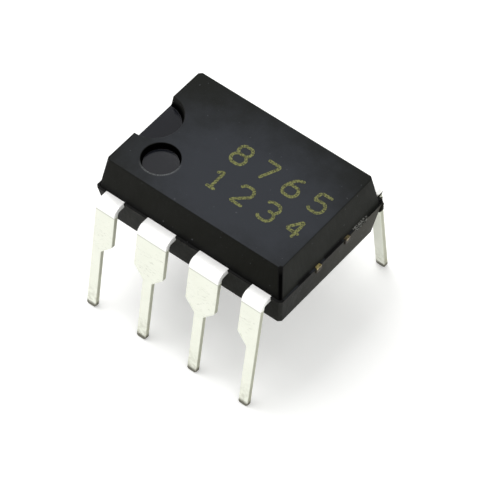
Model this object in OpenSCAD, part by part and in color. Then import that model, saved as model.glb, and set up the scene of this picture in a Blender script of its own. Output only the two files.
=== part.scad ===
// Eight-lead dual in-line integrated circuit: a moulded body around a stamped lead frame,
// a silicon die on its pad and eight bond wires.
// X runs along the body, Y across it and Z up. The lead tips stand on z = 0, the notch is at -X
// and lead 1 is the one at -X on the -Y side; the leads count round the body from there.

/* [Moulded body] */
// Length of the body at the parting plane
body_l = 9.06; // [8.9:0.01:10.4]
// Width of the body at the parting plane
body_w = 6.38; // [6:0.01:6.8]
// Height of the upper half, from the parting plane to the top face
upper_h = 1.55; // [1.3:0.01:1.9]
// Height of the lower half, from the parting plane to the underside
lower_h = 1.7; // [1.3:0.01:2]
// Draft of the long walls, in degrees
side_draft = 10; // [3:0.5:14]
// Draft of the end walls, in degrees
end_draft = 8; // [3:0.5:14]
// How far the lower half stands out past the upper half
mould_step = 0.09; // [0.02:0.01:0.15]
// Radius along the edges of the top face and the underside
edge_r = 0.06; // [0.02:0.01:0.12]
// Flat cut across the four upright corners, measured along each wall
corner_cut = 0.12; // [0.04:0.01:0.3]

/* [Moulded marks] */
// Radius of the half-round notch at the end of the top face
notch_r = 1.2; // [0.6:0.05:1.5]
// Depth of the notch below the top face
notch_depth = 0.55; // [0.2:0.01:0.8]
// Radius of the round dimple beside lead 1
dimple_r = 0.82; // [0.4:0.02:1]
// Depth of the dimple
dimple_depth = 0.32; // [0.1:0.02:0.6]
// Centre of the dimple, in from the end edge of the top face
dimple_from_end = 1.61; // [1.1:0.01:2.2]
// Centre of the dimple, in from the long edge of the top face
dimple_from_side = 1.3; // [1.1:0.01:1.8]
// Radius of the two ejector pin marks in the underside
ejector_r = 0.75; // [0.4:0.05:1.1]
// Depth of the ejector pin marks
ejector_depth = 0.06; // [0.02:0.01:0.15]
// Centre of each ejector pin mark, in from the end edge of the underside
ejector_from_end = 1.7; // [1.3:0.05:2.5]
// Width of the broken gate on the end wall
gate_w = 0.9; // [0.4:0.05:1.2]
// Height of the broken gate
gate_h = 0.2; // [0.1:0.01:0.3]
// How far the broken gate stands out from the end wall
gate_out = 0.03; // [0.01:0.005:0.035]
// Centre of the broken gate, across the body
gate_y = 1.75; // [1.55:0.05:2.2]

/* [Leads] */
// Spacing of the leads along each row
pitch = 2.54; // [2.3:0.01:2.6]
// Height of the leads' flat tops above their tips
lead_h = 5.64; // [4.6:0.01:6.2]
// Thickness of the lead frame strip
lead_t = 0.25; // [0.2:0.01:0.36]
// Width of a middle lead at its shoulders
shoulder_w = 1.42; // [1.1:0.01:1.7]
// Width of the shank that goes into the board
shank_w = 0.44; // [0.36:0.01:0.56]
// Flat run of each lead from the body to its bend
lead_run = 0.23; // [0.1:0.01:0.5]
// Inside radius of the bend
bend_r = 0.1; // [0.05:0.01:0.3]
// Outward lean of the leads from upright, in degrees
splay = 8; // [0:0.5:8]
// Length of the full-width shoulders below the bend
shoulder_len = 1.7; // [1:0.05:2.4]
// Length over which the shoulders taper to the shank
shoulder_taper = 0.52; // [0.2:0.02:1]
// Radius where the shoulders start to taper
shoulder_r = 0.12; // [0.03:0.01:0.2]
// Small cut at each corner of the tip
tip_cut = 0.06; // [0.02:0.01:0.12]

/* [Lead frame in the body] */
// Width of the finger that each lead ends in
finger_w = 0.5; // [0.35:0.01:0.6]
// Clear gap between the fingers, the pad and its tie bars
finger_gap = 0.2; // [0.12:0.01:0.3]
// Distance of the middle fingers from the centre line
finger_x = 0.55; // [0.4:0.01:0.8]
// Depth to which the full width of a lead is held in the body
hold_in = 0.45; // [0.3:0.05:0.7]
// Length of the die pad
pad_l = 3.4; // [2.6:0.05:3.8]
// Width of the die pad
pad_w = 2.3; // [2.2:0.05:2.8]
// Drop of the die pad below the leads
pad_drop = 0.2; // [0.05:0.01:0.4]
// Width of each tie bar of the die pad
tie_w = 0.32; // [0.2:0.01:0.4]
// Distance of the tie bars from the centre line
tie_y = 0.89; // [0.6:0.01:0.92]
// How far the cut ends of the tie bars stand out of the body
stub_out = 0.04; // [0.036:0.002:0.1]

/* [Die and bond wires] */
// Length of the silicon die
die_l = 1.6; // [1:0.05:2.2]
// Width of the silicon die
die_w = 1.3; // [0.9:0.05:1.8]
// Thickness of the silicon die
die_t = 0.28; // [0.15:0.01:0.4]
// Thickness of the paste under the die
attach_t = 0.03; // [0.02:0.005:0.06]
// Width of the paste squeezed out round the die
attach_out = 0.06; // [0.02:0.01:0.15]
// Distance of the wire bonds from the edge of the die
bond_in = 0.12; // [0.08:0.01:0.25]
// Radius of the bond wires
wire_r = 0.02; // [0.015:0.001:0.03]
// Radius of the ball at the die end of each wire
ball_r = 0.05; // [0.035:0.001:0.07]
// Height of the ball
ball_h = 0.03; // [0.02:0.001:0.05]
// Height of the wire loops above the die
loop_h = 0.25; // [0.15:0.01:0.4]

/* [Hidden] */
$fn = 64;

// Leads in each row
row_leads = 4;
// Straight pieces in each rounded corner
arc_steps = 4;
// Sides and rings of a bond wire
wire_sides = 6;
wire_rings = 10;
// A little more than nothing, so that cuts run clear of the faces they open
cut_over = 0.5;

// The parting plane is level with the tops of the leads
part_z = lead_h;
top_z = part_z + upper_h;
base_z = part_z - lower_h;
upper_l = body_l - 2 * mould_step;
upper_w = body_w - 2 * mould_step;
top_l = upper_l - 2 * upper_h * tan(end_draft);
top_w = upper_w - 2 * upper_h * tan(side_draft);
base_l = body_l - 2 * lower_h * tan(end_draft);

// Centre line of the bends, and the length of each leg from its bend to its tip
bend_y = body_w / 2 + lead_run;
bend_z = lead_h - lead_t - bend_r;
leg_len = (bend_z + bend_r * sin(splay)) / cos(splay);

// Level of the pad's top, and of the die's
pad_z = part_z - pad_drop;
die_z = pad_z + attach_t + die_t;
// Near edge of the fingers that reach round to the ends of the pad
arm_y = tie_y + tie_w / 2 + finger_gap;
// End of those fingers beside the pad's corners
arm_x = pad_l / 2 + finger_gap;
// Near end of the middle fingers
tip_y = pad_w / 2 + finger_gap;

// Which side of the centre line a lead is on, and its place along the row
function side(i) = i <= row_leads / 2 ? -1 : 1;
function lead_x(i) = (i - (row_leads + 1) / 2) * pitch;
function is_corner(i) = i == 1 || i == row_leads;
// Half widths of a lead to the -X and +X sides: the outer edge of a corner lead has no shoulder
function left_half(i) = i == 1 ? shank_w / 2 : shoulder_w / 2;
function right_half(i) = i == row_leads ? shank_w / 2 : shoulder_w / 2;

function unit(v) = v / norm(v);

// Points of the arc of radius r that rounds corner p between its neighbours a and b
function corner_arc(a, p, b, r) =
    let (
        u = unit(a - p),
        v = unit(b - p),
        half = acos(u * v) / 2,
        c = p + unit(u + v) * r / sin(half),
        s = p + u * r / tan(half) - c,
        e = p + v * r / tan(half) - c,
        from = atan2(s.y, s.x),
        turn = atan2(s.x * e.y - s.y * e.x, s * e)
    )
    [for (k = [0 : arc_steps]) c + r * [cos(from + turn * k / arc_steps), sin(from + turn * k / arc_steps)]];

// A closed outline with each corner rounded by its own radius; a radius of 0 keeps it sharp
function rounded(pts, radii) =
    let (n = len(pts))
    [for (i = [0 : n - 1])
        each radii[i] > 0
            ? corner_arc(pts[(i + n - 1) % n], pts[i], pts[(i + 1) % n], radii[i])
            : [pts[i]]];

// A long bar along Y whose section leans in from half width a at the bottom to b at height h
module drafted_bar(a, b, h, length) {
    rotate([90, 0, 0])
        linear_extrude(height = length, center = true)
            polygon(rounded([[-a, 0], [a, 0], [b, h], [-b, h]], [0, 0, edge_r, edge_r]));
}

// Half of the moulded body, from its foot at the parting plane to its face at height h:
// four drafted walls and four flat corner cuts
module body_half(l, w, h) {
    face_l = l - 2 * h * tan(end_draft);
    face_w = w - 2 * h * tan(side_draft);
    foot_diag = ((l + w) / 2 - corner_cut) / sqrt(2);
    face_diag = ((face_l + face_w) / 2 - corner_cut) / sqrt(2);
    intersection() {
        drafted_bar(l / 2, face_l / 2, h, 2 * w);
        rotate(90) drafted_bar(w / 2, face_w / 2, h, 2 * l);
        rotate(45) drafted_bar(foot_diag, face_diag, h, 2 * l);
        rotate(-45) drafted_bar(foot_diag, face_diag, h, 2 * l);
    }
}

// The body before the lead frame is cast into it, with its moulded marks
module moulding() {
    difference() {
        union() {
            translate([0, 0, part_z]) body_half(upper_l, upper_w, upper_h);
            translate([0, 0, part_z]) mirror([0, 0, 1]) body_half(body_l, body_w, lower_h);
            gate();
        }
        translate([-top_l / 2, 0, top_z - notch_depth])
            cylinder(r = notch_r, h = notch_depth + cut_over);
        translate([dimple_from_end - top_l / 2, dimple_from_side - top_w / 2, top_z - dimple_depth])
            cylinder(r = dimple_r, h = dimple_depth + cut_over);
        for (s = [-1, 1])
            translate([s * (base_l / 2 - ejector_from_end), 0, base_z - cut_over])
                cylinder(r = ejector_r, h = ejector_depth + cut_over);
    }
}

// The stump left where the runner of moulding compound was snapped off
module gate() {
    translate([body_l / 2 - gate_h, gate_y, part_z])
        rotate([0, 90, 0])
            linear_extrude(height = gate_h + gate_out)
                polygon(rounded(
                    [[0, -gate_w / 2], [gate_h, -gate_w / 3], [gate_h, gate_w / 3], [0, gate_w / 2]],
                    [0, gate_h / 3, gate_h / 3, 0]
                ));
}

// Plan of the flat part of lead i of a row, from its bend to the tip of its finger
function finger_plan(i) = is_corner(i) ? arm_plan(i) : straight_plan(i);

// A corner lead turns along the body and ends beside the corner of the pad
function arm_plan(i) =
    let (
        s = side(i),
        x_out = abs(lead_x(i)) + shank_w / 2,
        x_in = abs(lead_x(i)) - shoulder_w / 2,
        bevel = finger_w / 2
    )
    [for (p = rounded(
        [
            [x_out, -bend_y], [x_out, -arm_y - finger_w], [x_out - finger_w, -arm_y],
            [arm_x, -arm_y], [arm_x, -arm_y - finger_w],
            [x_in - bevel, -arm_y - finger_w], [x_in, -arm_y - finger_w - bevel], [x_in, -bend_y]
        ],
        [0, bevel / 2, bevel / 2, finger_w / 5, finger_w / 5, bevel / 3, bevel / 3, 0]
    )) [s * p.x, p.y]];

// A middle lead narrows to a finger that points at the side of the pad
function straight_plan(i) =
    let (
        s = side(i),
        x_out = abs(lead_x(i)) + shoulder_w / 2,
        x_in = abs(lead_x(i)) - shoulder_w / 2,
        hold_y = body_w / 2 - hold_in,
        neck_y = tip_y + finger_w
    )
    [for (p = rounded(
        [
            [x_out, -bend_y], [x_out, -hold_y],
            [finger_x + finger_w / 2, -neck_y], [finger_x + finger_w / 2, -tip_y],
            [finger_x - finger_w / 2, -tip_y], [finger_x - finger_w / 2, -neck_y],
            [x_in, -hold_y], [x_in, -bend_y]
        ],
        [0, finger_w / 5, finger_w / 5, finger_w / 5, finger_w / 5, finger_w / 5, finger_w / 5, 0]
    )) [s * p.x, p.y]];

// Outline of the leg of lead i, from the end of its bend to its tip
function leg_outline(i) =
    let (
        l = left_half(i),
        r = right_half(i),
        w = shank_w / 2,
        taper_end = shoulder_len + shoulder_taper,
        l_round = l > w ? shoulder_r : 0,
        r_round = r > w ? shoulder_r : 0
    )
    rounded(
        [
            [-l, 0], [r, 0], [r, shoulder_len], [w, taper_end],
            [w, leg_len - tip_cut], [w - tip_cut, leg_len],
            [tip_cut - w, leg_len], [-w, leg_len - tip_cut],
            [-w, taper_end], [-l, shoulder_len]
        ],
        [0, 0, r_round, r_round / 2, 0, 0, 0, 0, l_round / 2, l_round]
    );

// Lead i of the row on the -Y side: flat finger, bend and leg, all of one strip
module row_lead(i) {
    translate([0, 0, part_z - lead_t])
        linear_extrude(height = lead_t)
            polygon(finger_plan(i));
    translate([lead_x(i), -bend_y, bend_z]) {
        rotate([0, -90, 180])
            rotate_extrude(angle = 90 - splay)
                translate([bend_r, -left_half(i)])
                    square([lead_t, left_half(i) + right_half(i)]);
        translate([0, -(bend_r + lead_t) * cos(splay), (bend_r + lead_t) * sin(splay)])
            rotate([-90 - splay, 0, 0])
                linear_extrude(height = lead_t)
                    polygon(leg_outline(i));
    }
}

// Lead n of the whole package; leads 5 to 8 are the same row turned half round
module lead(n) {
    color("gainsboro")
        rotate(n > row_leads ? 180 : 0)
            row_lead((n - 1) % row_leads + 1);
}

// Side view of one tie bar: level with the pad, a step up, then level with the leads
module tie_bar() {
    foot = pad_l / 2 + tie_w;
    lap = pad_l / 2 - tie_w;
    end = body_l / 2 + stub_out;
    // At a bend of 45 degrees the lower face turns this much further along than the upper one
    shift = lead_t * tan(45 / 2);
    rotate([90, 0, 0])
        linear_extrude(height = tie_w, center = true)
            polygon([
                [lap, -pad_drop], [foot, -pad_drop], [foot + pad_drop, 0], [end, 0],
                [end, -lead_t], [foot + pad_drop + shift, -lead_t],
                [foot + shift, -pad_drop - lead_t], [lap, -pad_drop - lead_t]
            ]);
}

module die_pad() {
    half_l = pad_l / 2;
    half_w = pad_w / 2;
    color("peru") {
        translate([0, 0, pad_z - lead_t])
            linear_extrude(height = lead_t)
                polygon(rounded(
                    [[-half_l, -half_w], [half_l, -half_w], [half_l, half_w], [-half_l, half_w]],
                    [for (k = [1 : 4]) tie_w / 2]
                ));
        for (turn = [0, 180], y = [-tie_y, tie_y])
            rotate(turn)
                translate([0, y, part_z])
                    tie_bar();
    }
}

module die_attach() {
    half_l = die_l / 2 + attach_out;
    half_w = die_w / 2 + attach_out;
    color("silver")
        translate([0, 0, pad_z])
            linear_extrude(height = attach_t)
                polygon(rounded(
                    [[-half_l, -half_w], [half_l, -half_w], [half_l, half_w], [-half_l, half_w]],
                    [for (k = [1 : 4]) 2 * attach_out]
                ));
}

module silicon_die() {
    color("slategray")
        translate([-die_l / 2, -die_w / 2, pad_z + attach_t])
            cube([die_l, die_w, die_t]);
}

// Where the wire of lead i leaves the die, and where it is stitched to the finger
function bond_from(i) = is_corner(i)
    ? [side(i) * (die_l / 2 - bond_in), -die_w / 4]
    : [side(i) * die_l / 4, bond_in - die_w / 2];
function bond_to(i) = is_corner(i)
    ? [side(i) * (arm_x + finger_w / 2), -arm_y - finger_w / 2]
    : [side(i) * finger_x, -tip_y - finger_w / 2];

// Point and direction of a cubic curve through four control points
function curve(p, t) =
    pow(1 - t, 3) * p[0] + 3 * t * pow(1 - t, 2) * p[1] + 3 * t * t * (1 - t) * p[2] + pow(t, 3) * p[3];
function curve_dir(p, t) =
    unit(pow(1 - t, 2) * (p[1] - p[0]) + 2 * t * (1 - t) * (p[2] - p[1]) + t * t * (p[3] - p[2]));

// One ring of a wire, in the plane that stands on the line from a along unit vector d:
// c is its centre as run and height, and v its second half axis in that plane
function wire_ring(a, d, c, r, v) =
    [for (k = [0 : wire_sides - 1])
        let (
            w = 360 * k / wire_sides,
            run = c.x + cos(w) * v.x,
            across = r * sin(w)
        )
        [a.x + run * d.x - across * d.y, a.y + run * d.y + across * d.x, c.y + cos(w) * v.y]];

// The wire of lead i: a flat ball on the die, a loop, and a slanting foot cut level on the finger
function wire_points(i) =
    let (
        a = bond_from(i),
        reach = norm(bond_to(i) - a),
        d = (bond_to(i) - a) / reach,
        neck = die_z + 1.5 * ball_h,
        p = [
            [0, neck], [0, die_z + 1.5 * loop_h],
            [0.55 * reach, die_z + 1.3 * loop_h], [reach, part_z]
        ],
        fall = curve_dir(p, 1)
    )
    concat(
        wire_ring(a, d, [0, die_z], ball_r, [ball_r, 0]),
        wire_ring(a, d, [0, die_z + ball_h], ball_r, [ball_r, 0]),
        [for (k = [0 : wire_rings - 1])
            let (t = k / wire_rings, g = curve_dir(p, t))
            each wire_ring(a, d, curve(p, t), wire_r, wire_r * [g.y, -g.x])],
        wire_ring(a, d, p[3], wire_r, [wire_r / fall.y, 0])
    );

// Triangles that close a stack of rings into a solid
function ring_faces(rings) =
    let (n = wire_sides, last = (rings - 1) * n)
    concat(
        [[for (k = [0 : n - 1]) k]],
        [for (j = [0 : rings - 2], k = [0 : n - 1], half = [0, 1])
            let (a = j * n + k, b = j * n + (k + 1) % n)
            half == 0 ? [a, a + n, b] : [b, a + n, b + n]],
        [[for (k = [n - 1 : -1 : 0]) last + k]]
    );

module bond_wire(n) {
    color("gold")
        rotate(n > row_leads ? 180 : 0)
            polyhedron(
                points = wire_points((n - 1) % row_leads + 1),
                faces = ring_faces(wire_rings + 3)
            );
}

// The compound fills all round the frame, the die and the wires
module package_body() {
    color([0.17, 0.17, 0.18])
        difference() {
            moulding();
            for (n = [1 : 2 * row_leads]) {
                lead(n);
                bond_wire(n);
            }
            die_pad();
            die_attach();
            silicon_die();
        }
}

package_body();
lead(1);  // lead_1
lead(2);  // lead_2
lead(3);  // lead_3
lead(4);  // lead_4
lead(5);  // lead_5
lead(6);  // lead_6
lead(7);  // lead_7
lead(8);  // lead_8
die_pad();
die_attach();
silicon_die();
bond_wire(1);  // bond_wire_1
bond_wire(2);  // bond_wire_2
bond_wire(3);  // bond_wire_3
bond_wire(4);  // bond_wire_4
bond_wire(5);  // bond_wire_5
bond_wire(6);  // bond_wire_6
bond_wire(7);  // bond_wire_7
bond_wire(8);  // bond_wire_8
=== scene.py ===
# %% [markdown]
# # An eight-lead integrated circuit
#
# The object is a small black chip on eight bent, tinned legs, no longer than a fingernail. Its
# solids are loaded first, as a fixed frame: every surface made below goes where they are, and
# nothing in the frame is moved. Lengths are in millimetres and turned into metres where a mesh is
# made.

# %% Load the frame
import math
import bpy
import bmesh
import numpy as np
from mathutils import Matrix, Vector


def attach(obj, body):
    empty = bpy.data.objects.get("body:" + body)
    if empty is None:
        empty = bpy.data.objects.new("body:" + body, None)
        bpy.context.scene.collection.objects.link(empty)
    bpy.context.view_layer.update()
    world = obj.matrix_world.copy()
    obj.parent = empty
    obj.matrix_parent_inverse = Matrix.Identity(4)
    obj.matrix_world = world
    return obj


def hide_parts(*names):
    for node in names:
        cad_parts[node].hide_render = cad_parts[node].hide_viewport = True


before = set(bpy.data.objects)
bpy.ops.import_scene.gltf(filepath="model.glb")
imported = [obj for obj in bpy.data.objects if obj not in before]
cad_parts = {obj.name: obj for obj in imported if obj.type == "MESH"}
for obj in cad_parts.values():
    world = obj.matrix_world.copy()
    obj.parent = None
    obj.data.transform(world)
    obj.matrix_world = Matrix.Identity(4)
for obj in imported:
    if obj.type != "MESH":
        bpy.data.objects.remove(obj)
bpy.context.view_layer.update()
MM = 0.001

# %% [markdown]
# ## The sizes
#
# A moulded body has two halves that were cast in two tools. Each half leans in towards its flat
# face, so that it lets go of its tool, and the lower half is a little larger where they meet, at
# the parting plane. The tops of the legs lie in that plane. The sizes are those of the solids. Only
# the top face is drawn a hair lower, so that the laser marks on it stay inside the solids' box.

# %% Sizes of the chip, in millimetres
BODY_L, BODY_W = 9.06, 6.38
UPPER_H, LOWER_H = 1.55, 1.70
SIDE_DRAFT, END_DRAFT = math.radians(10), math.radians(8)
MOULD_STEP, EDGE_R, CORNER_CUT = 0.09, 0.06, 0.12
PART_Z = 5.64
TOP_Z, BASE_Z = PART_Z + UPPER_H, PART_Z - LOWER_H
UPPER_L, UPPER_W = BODY_L - 2 * MOULD_STEP, BODY_W - 2 * MOULD_STEP
MARK_SKIN = 0.004
FACE_Z = TOP_Z - MARK_SKIN
TOP_L = UPPER_L - 2 * UPPER_H * math.tan(END_DRAFT)
TOP_W = UPPER_W - 2 * UPPER_H * math.tan(SIDE_DRAFT)
BASE_L = BODY_L - 2 * LOWER_H * math.tan(END_DRAFT)
NOTCH_R, NOTCH_DEPTH = 1.2, 0.55
DIMPLE_R, DIMPLE_DEPTH = 0.82, 0.32
DIMPLE_X, DIMPLE_Y = 1.61 - TOP_L / 2, 1.3 - TOP_W / 2
EJECTOR_R, EJECTOR_DEPTH, EJECTOR_X = 0.75, 0.06, BASE_L / 2 - 1.7
PITCH, STRIP_T = 2.54, 0.25
SHOULDER_W, SHANK_W = 1.42, 0.44
BEND_R, SPLAY = 0.10, math.radians(8)
BEND_Y, BEND_Z = BODY_W / 2 + 0.23, PART_Z - STRIP_T - BEND_R
LEG_LEN = (BEND_Z + BEND_R * math.sin(SPLAY)) / math.cos(SPLAY)
PAD_L, PAD_W, TIE_Y, TIE_W = 3.4, 2.3, 0.89, 0.32
print("top face", round(TOP_L, 3), "x", round(TOP_W, 3), "leg", round(LEG_LEN, 3))

# %% [markdown]
# ## The camera
#
# A chip this small is photographed from about thirteen centimetres with a long lens. The camera
# stands in front, to the right and high up, and leans by less than a degree. Its place was found by
# matching the corners of the body and the tips of the legs.

# %% Camera
AZIMUTH, ELEVATION, ROLL = math.radians(38.012), math.radians(51.674), math.radians(0.832)
AIM, DISTANCE = Vector((0.643, -0.741, 4.0)), 132.633
FOCAL, SENSOR, CLIP_START, CLIP_END = 258.755, 36.0, 0.01, 5.0
back = Vector((
    math.sin(AZIMUTH) * math.cos(ELEVATION),
    -math.cos(AZIMUTH) * math.cos(ELEVATION),
    math.sin(ELEVATION),
))
sideways = Vector((0, 0, 1)).cross(back).normalized()
upward = back.cross(sideways)
right = math.cos(ROLL) * sideways + math.sin(ROLL) * upward
top = math.cos(ROLL) * upward - math.sin(ROLL) * sideways
camera = bpy.data.objects.new("camera", bpy.data.cameras.new("camera"))
camera.data.lens, camera.data.sensor_width = FOCAL, SENSOR
camera.data.clip_start, camera.data.clip_end = CLIP_START, CLIP_END
place = Matrix((right, top, back)).transposed().to_4x4()
place.translation = (AIM + back * DISTANCE) * MM
camera.matrix_world = place
bpy.context.scene.collection.objects.link(camera)
bpy.context.scene.camera = camera
bpy.context.scene.view_settings.view_transform = "Standard"
print("camera", [round(c, 4) for c in camera.location])

# %% [markdown]
# ## Numbers that vary over a surface
#
# Every finish below is a small tree of nodes. A field is one number that varies over the surface,
# such as the height or a noise, and arithmetic with fields makes Math nodes. So a finish can be
# written as a formula. A comparison such as "z is over 5" is a field too: 1 where it is true and 0
# elsewhere.

# %% Fields
def connect(tree, socket, value):
    """Links a value that varies to the socket, or sets one that is the same all over."""
    value = getattr(value, "socket", value)
    if isinstance(value, bpy.types.NodeSocket):
        tree.links.new(value, socket)
    else:
        socket.default_value = (*value, 1.0) if socket.type == "RGBA" else value


def add(tree, kind, inputs=(), **settings):
    """A new node with its settings, and its inputs given by name or number."""
    node = tree.nodes.new(kind)
    for key, value in settings.items():
        setattr(node, key, value)
    for key, value in dict(inputs).items():
        connect(tree, node.inputs[key], value)
    return node


def math_node(operation, swap=False):
    """A method that adds one Math node, with its two sides changed over if swap is set."""
    def method(self, other=0.0):
        sides = (other, self) if swap else (self, other)
        node = add(self.tree, "ShaderNodeMath", dict(enumerate(sides)), operation=operation)
        return Field(self.tree, node.outputs["Value"])
    return method


class Field:
    """A number that varies over a surface, and the arithmetic that can be done with it."""
    __add__ = __radd__ = math_node("ADD")
    __mul__ = __rmul__ = math_node("MULTIPLY")
    __sub__, __rsub__ = math_node("SUBTRACT"), math_node("SUBTRACT", swap=True)
    __truediv__, __abs__, root = math_node("DIVIDE"), math_node("ABSOLUTE"), math_node("SQRT")
    __gt__, __lt__ = math_node("GREATER_THAN"), math_node("LESS_THAN")
    at_least, at_most = math_node("MAXIMUM"), math_node("MINIMUM")

    def __init__(self, tree, socket):
        self.tree, self.socket = tree, socket

    def spread(self, low, high, to_low=0.0, to_high=1.0, smooth=False):
        """Stretched from one range to another and held at its ends."""
        node = add(self.tree, "ShaderNodeMapRange", {
            "Value": self, "From Min": low, "From Max": high, "To Min": to_low, "To Max": to_high,
        }, interpolation_type="SMOOTHSTEP" if smooth else "LINEAR")
        return Field(self.tree, node.outputs["Result"])

    def fall(self, low, high, smooth=False):
        """1 up to low, 0 from high on."""
        return self.spread(low, high, 1.0, 0.0, smooth)

    def between(self, low, high):
        """A noise, which mostly stays between 0.3 and 0.7, stretched to run from low to high."""
        return self.spread(0.3, 0.7, low, high)

    def dim(self, to):
        """1 where the field is 0, falling to the given number where it is 1."""
        return self.spread(0.0, 1.0, 1.0, to)


def far(a, b):
    """The distance from where both fields are 0: the root of the sum of their squares."""
    return (a * a + b * b).root()

# %% [markdown]
# ## A material in the making
#
# The patterns read Object coordinates, which are metres here, so a Mapping node turns them into
# millimetres: a noise of scale 10 then has grains of a tenth of a millimetre. What is the same all
# over a piece is set on the shader itself. A colour is built up like paint, layer over layer, each
# with its own field that says where it lies.

# %% Finishes
class Finish:
    """A material in the making, with the places on the piece in millimetres."""

    def __init__(self, name):
        self.material = bpy.data.materials.new(name)
        self.material.use_nodes = True
        self.tree = self.material.node_tree
        self.shader = self.tree.nodes["Principled BSDF"]
        coords = add(self.tree, "ShaderNodeTexCoord")
        self.normal = coords.outputs["Normal"]
        self.place = self.mapped(coords.outputs["Object"], Scale=(1 / MM, 1 / MM, 1 / MM))

    def mapped(self, vector, **moves):
        """The vector scaled, turned or moved by a Mapping node."""
        return add(self.tree, "ShaderNodeMapping", {"Vector": vector, **moves}).outputs["Vector"]

    def split(self, vector):
        """The X, Y and Z of a vector as three fields."""
        node = add(self.tree, "ShaderNodeSeparateXYZ", {"Vector": vector})
        return [Field(self.tree, node.outputs[axis]) for axis in "XYZ"]

    def noise(self, scale, detail=3.0, roughness=0.5, distortion=0.0, **moves):
        """Grey noise with grains of about one over scale, stretched by the moves if any."""
        vector = self.mapped(self.place, **moves) if moves else self.place
        node = add(self.tree, "ShaderNodeTexNoise", {
            "Vector": vector, "Scale": scale, "Detail": detail, "Roughness": roughness,
            "Distortion": distortion,
        })
        return Field(self.tree, node.outputs["Fac"])

    def stored(self, name):
        """The field that was stored on the points of the mesh under this name."""
        node = add(self.tree, "ShaderNodeAttribute", attribute_name=name)
        return Field(self.tree, node.outputs["Fac"])

    def mix(self, amount, a, b):
        """Colour a turned into colour b by amount."""
        node = add(self.tree, "ShaderNodeMix", data_type="RGBA")
        inputs = {socket.name: socket for socket in node.inputs if socket.enabled}
        for name, value in (("Factor", amount), ("A", a), ("B", b)):
            connect(self.tree, inputs[name], value)
        return next(socket for socket in node.outputs if socket.enabled)

    def layers(self, colour, *layers):
        """The colour with one layer after another over it, each an amount and a colour."""
        for amount, tint in layers:
            colour = self.mix(amount, colour, tint)
        return colour

    def done(self, colour, rough, bumps, depth, **others):
        """Joins up the shader; bumps from 0 to 1 stand up by depth in millimetres."""
        bump = {"Height": bumps, "Distance": depth * MM, "Strength": 1.0}
        others["Normal"] = add(self.tree, "ShaderNodeBump", bump).outputs["Normal"]
        for name, value in {"Base Color": colour, "Roughness": rough, **others}.items():
            connect(self.tree, self.shader.inputs[name.replace("_", " ")], value)
        print("finish", self.material.name, len(self.tree.nodes), "nodes")
        return self.material

# %% [markdown]
# ## Places on the body
#
# The body is one material, but not one look: its tool was polished in some places and eroded in
# others, and light and shade are painted into its colour at some places. So the finish must know
# where it is. The distance in from a drafted wall is the half size at the parting plane, less the
# distance from the middle, less what the draft takes off at that height.

# %% Places on the body
# The way towards which the dimple's rim is painted light: its near side.
RIM_HIGHLIGHT_WAY = (0.55, -0.83)
# Painted shade between the ties, across each end wall: its middle, where it is full, where it ends.
TIE_GAP_SHADE = ((0.1, 0.5, 0.62), (-1.7, 0.3, 0.45))


def from_walls(x, y, z):
    """How far in from the end walls and the side walls: 0 on the upper walls themselves."""
    away = abs(z - PART_Z)
    from_end = UPPER_L / 2 - (abs(x) + away * math.tan(END_DRAFT))
    from_side = UPPER_W / 2 - (abs(y) + away * math.tan(SIDE_DRAFT))
    return from_end.at_least(0.0), from_side.at_least(0.0)


def painted_seam_shade(y, z, from_end, from_side, ragged):
    """1 where shade is painted black: over the parting plane, at the corners, between the ties."""
    over = z - PART_Z
    uneven = over + ragged.between(-0.05, 0.05)
    band = uneven.fall(0.12, 0.36, True) * (from_side < from_end)
    corner = far(from_end, from_side).fall(0.12, 0.155, True)
    middle, outer = (abs(y - at).fall(near, end) for at, near, end in TIE_GAP_SHADE)
    gap = uneven.fall(0.11, 0.23, True) * middle.at_least(outer) * (uneven > -0.075)
    return (band.at_least(corner) * (over > -0.03)).at_least(gap)


def pocket_floors_and_painted_light(x, y, z, n_z, from_end, from_side):
    """Painted highlight on the dimple's near rim, painted shade on the pockets' walls, their
    floors.
    """
    dx, dy = x - DIMPLE_X, y - DIMPLE_Y
    span = far(dx, dy)
    # Painted highlight: a pale ring just outside the dimple, kept to its near side, where the edge
    # of the rim would catch the light.
    ring = abs(span - (DIMPLE_R + 0.012)).fall(0.022, 0.055) * (z > FACE_Z - 0.05)
    rim = ring * (dx * RIM_HIGHLIGHT_WAY[0] + dy * RIM_HIGHLIGHT_WAY[1]).spread(0.1, 0.75, smooth=True)
    level = n_z.spread(0.97, 0.995)
    floors = (z < FACE_Z - 0.2) * (z > PART_Z + 0.5)
    # Painted shade: the pockets' sloping walls are painted black, fully in the dimple and deep
    # down, a quarter as much high in the notch.
    sunk = (z < FACE_Z - 0.035) * (from_end.at_most(from_side) > 0.015)
    deep = (span < DIMPLE_R + 0.06).at_least(z.spread(FACE_Z - 0.40, FACE_Z - 0.15, 1.0, 0.25))
    return rim, sunk * (1.0 - level) * deep, floors * level

# %% [markdown]
# ## Moulding compound
#
# The black body is epoxy filled with ground silica and a little carbon. Its faces come out of a
# finely eroded tool, so up close they are a dull black with a grain of a few hundredths of a
# millimetre. Most of what the eye sees on it is the reflection of a bright room, so the colour is
# nearly black and the gloss does the work. The drafted walls, which slide along the tool as the
# body drops out, are rougher and slightly brown. The pins that stood in the notch and the dimple
# were polished, so the floors of these pockets are the smoothest. Light and shade are also painted
# into the colour: a lighter top with a painted sheen, lighter end walls with a painted reflection
# of the floor, painted shade in the seams and pockets, and a painted highlight on the dimple's rim.

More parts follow.
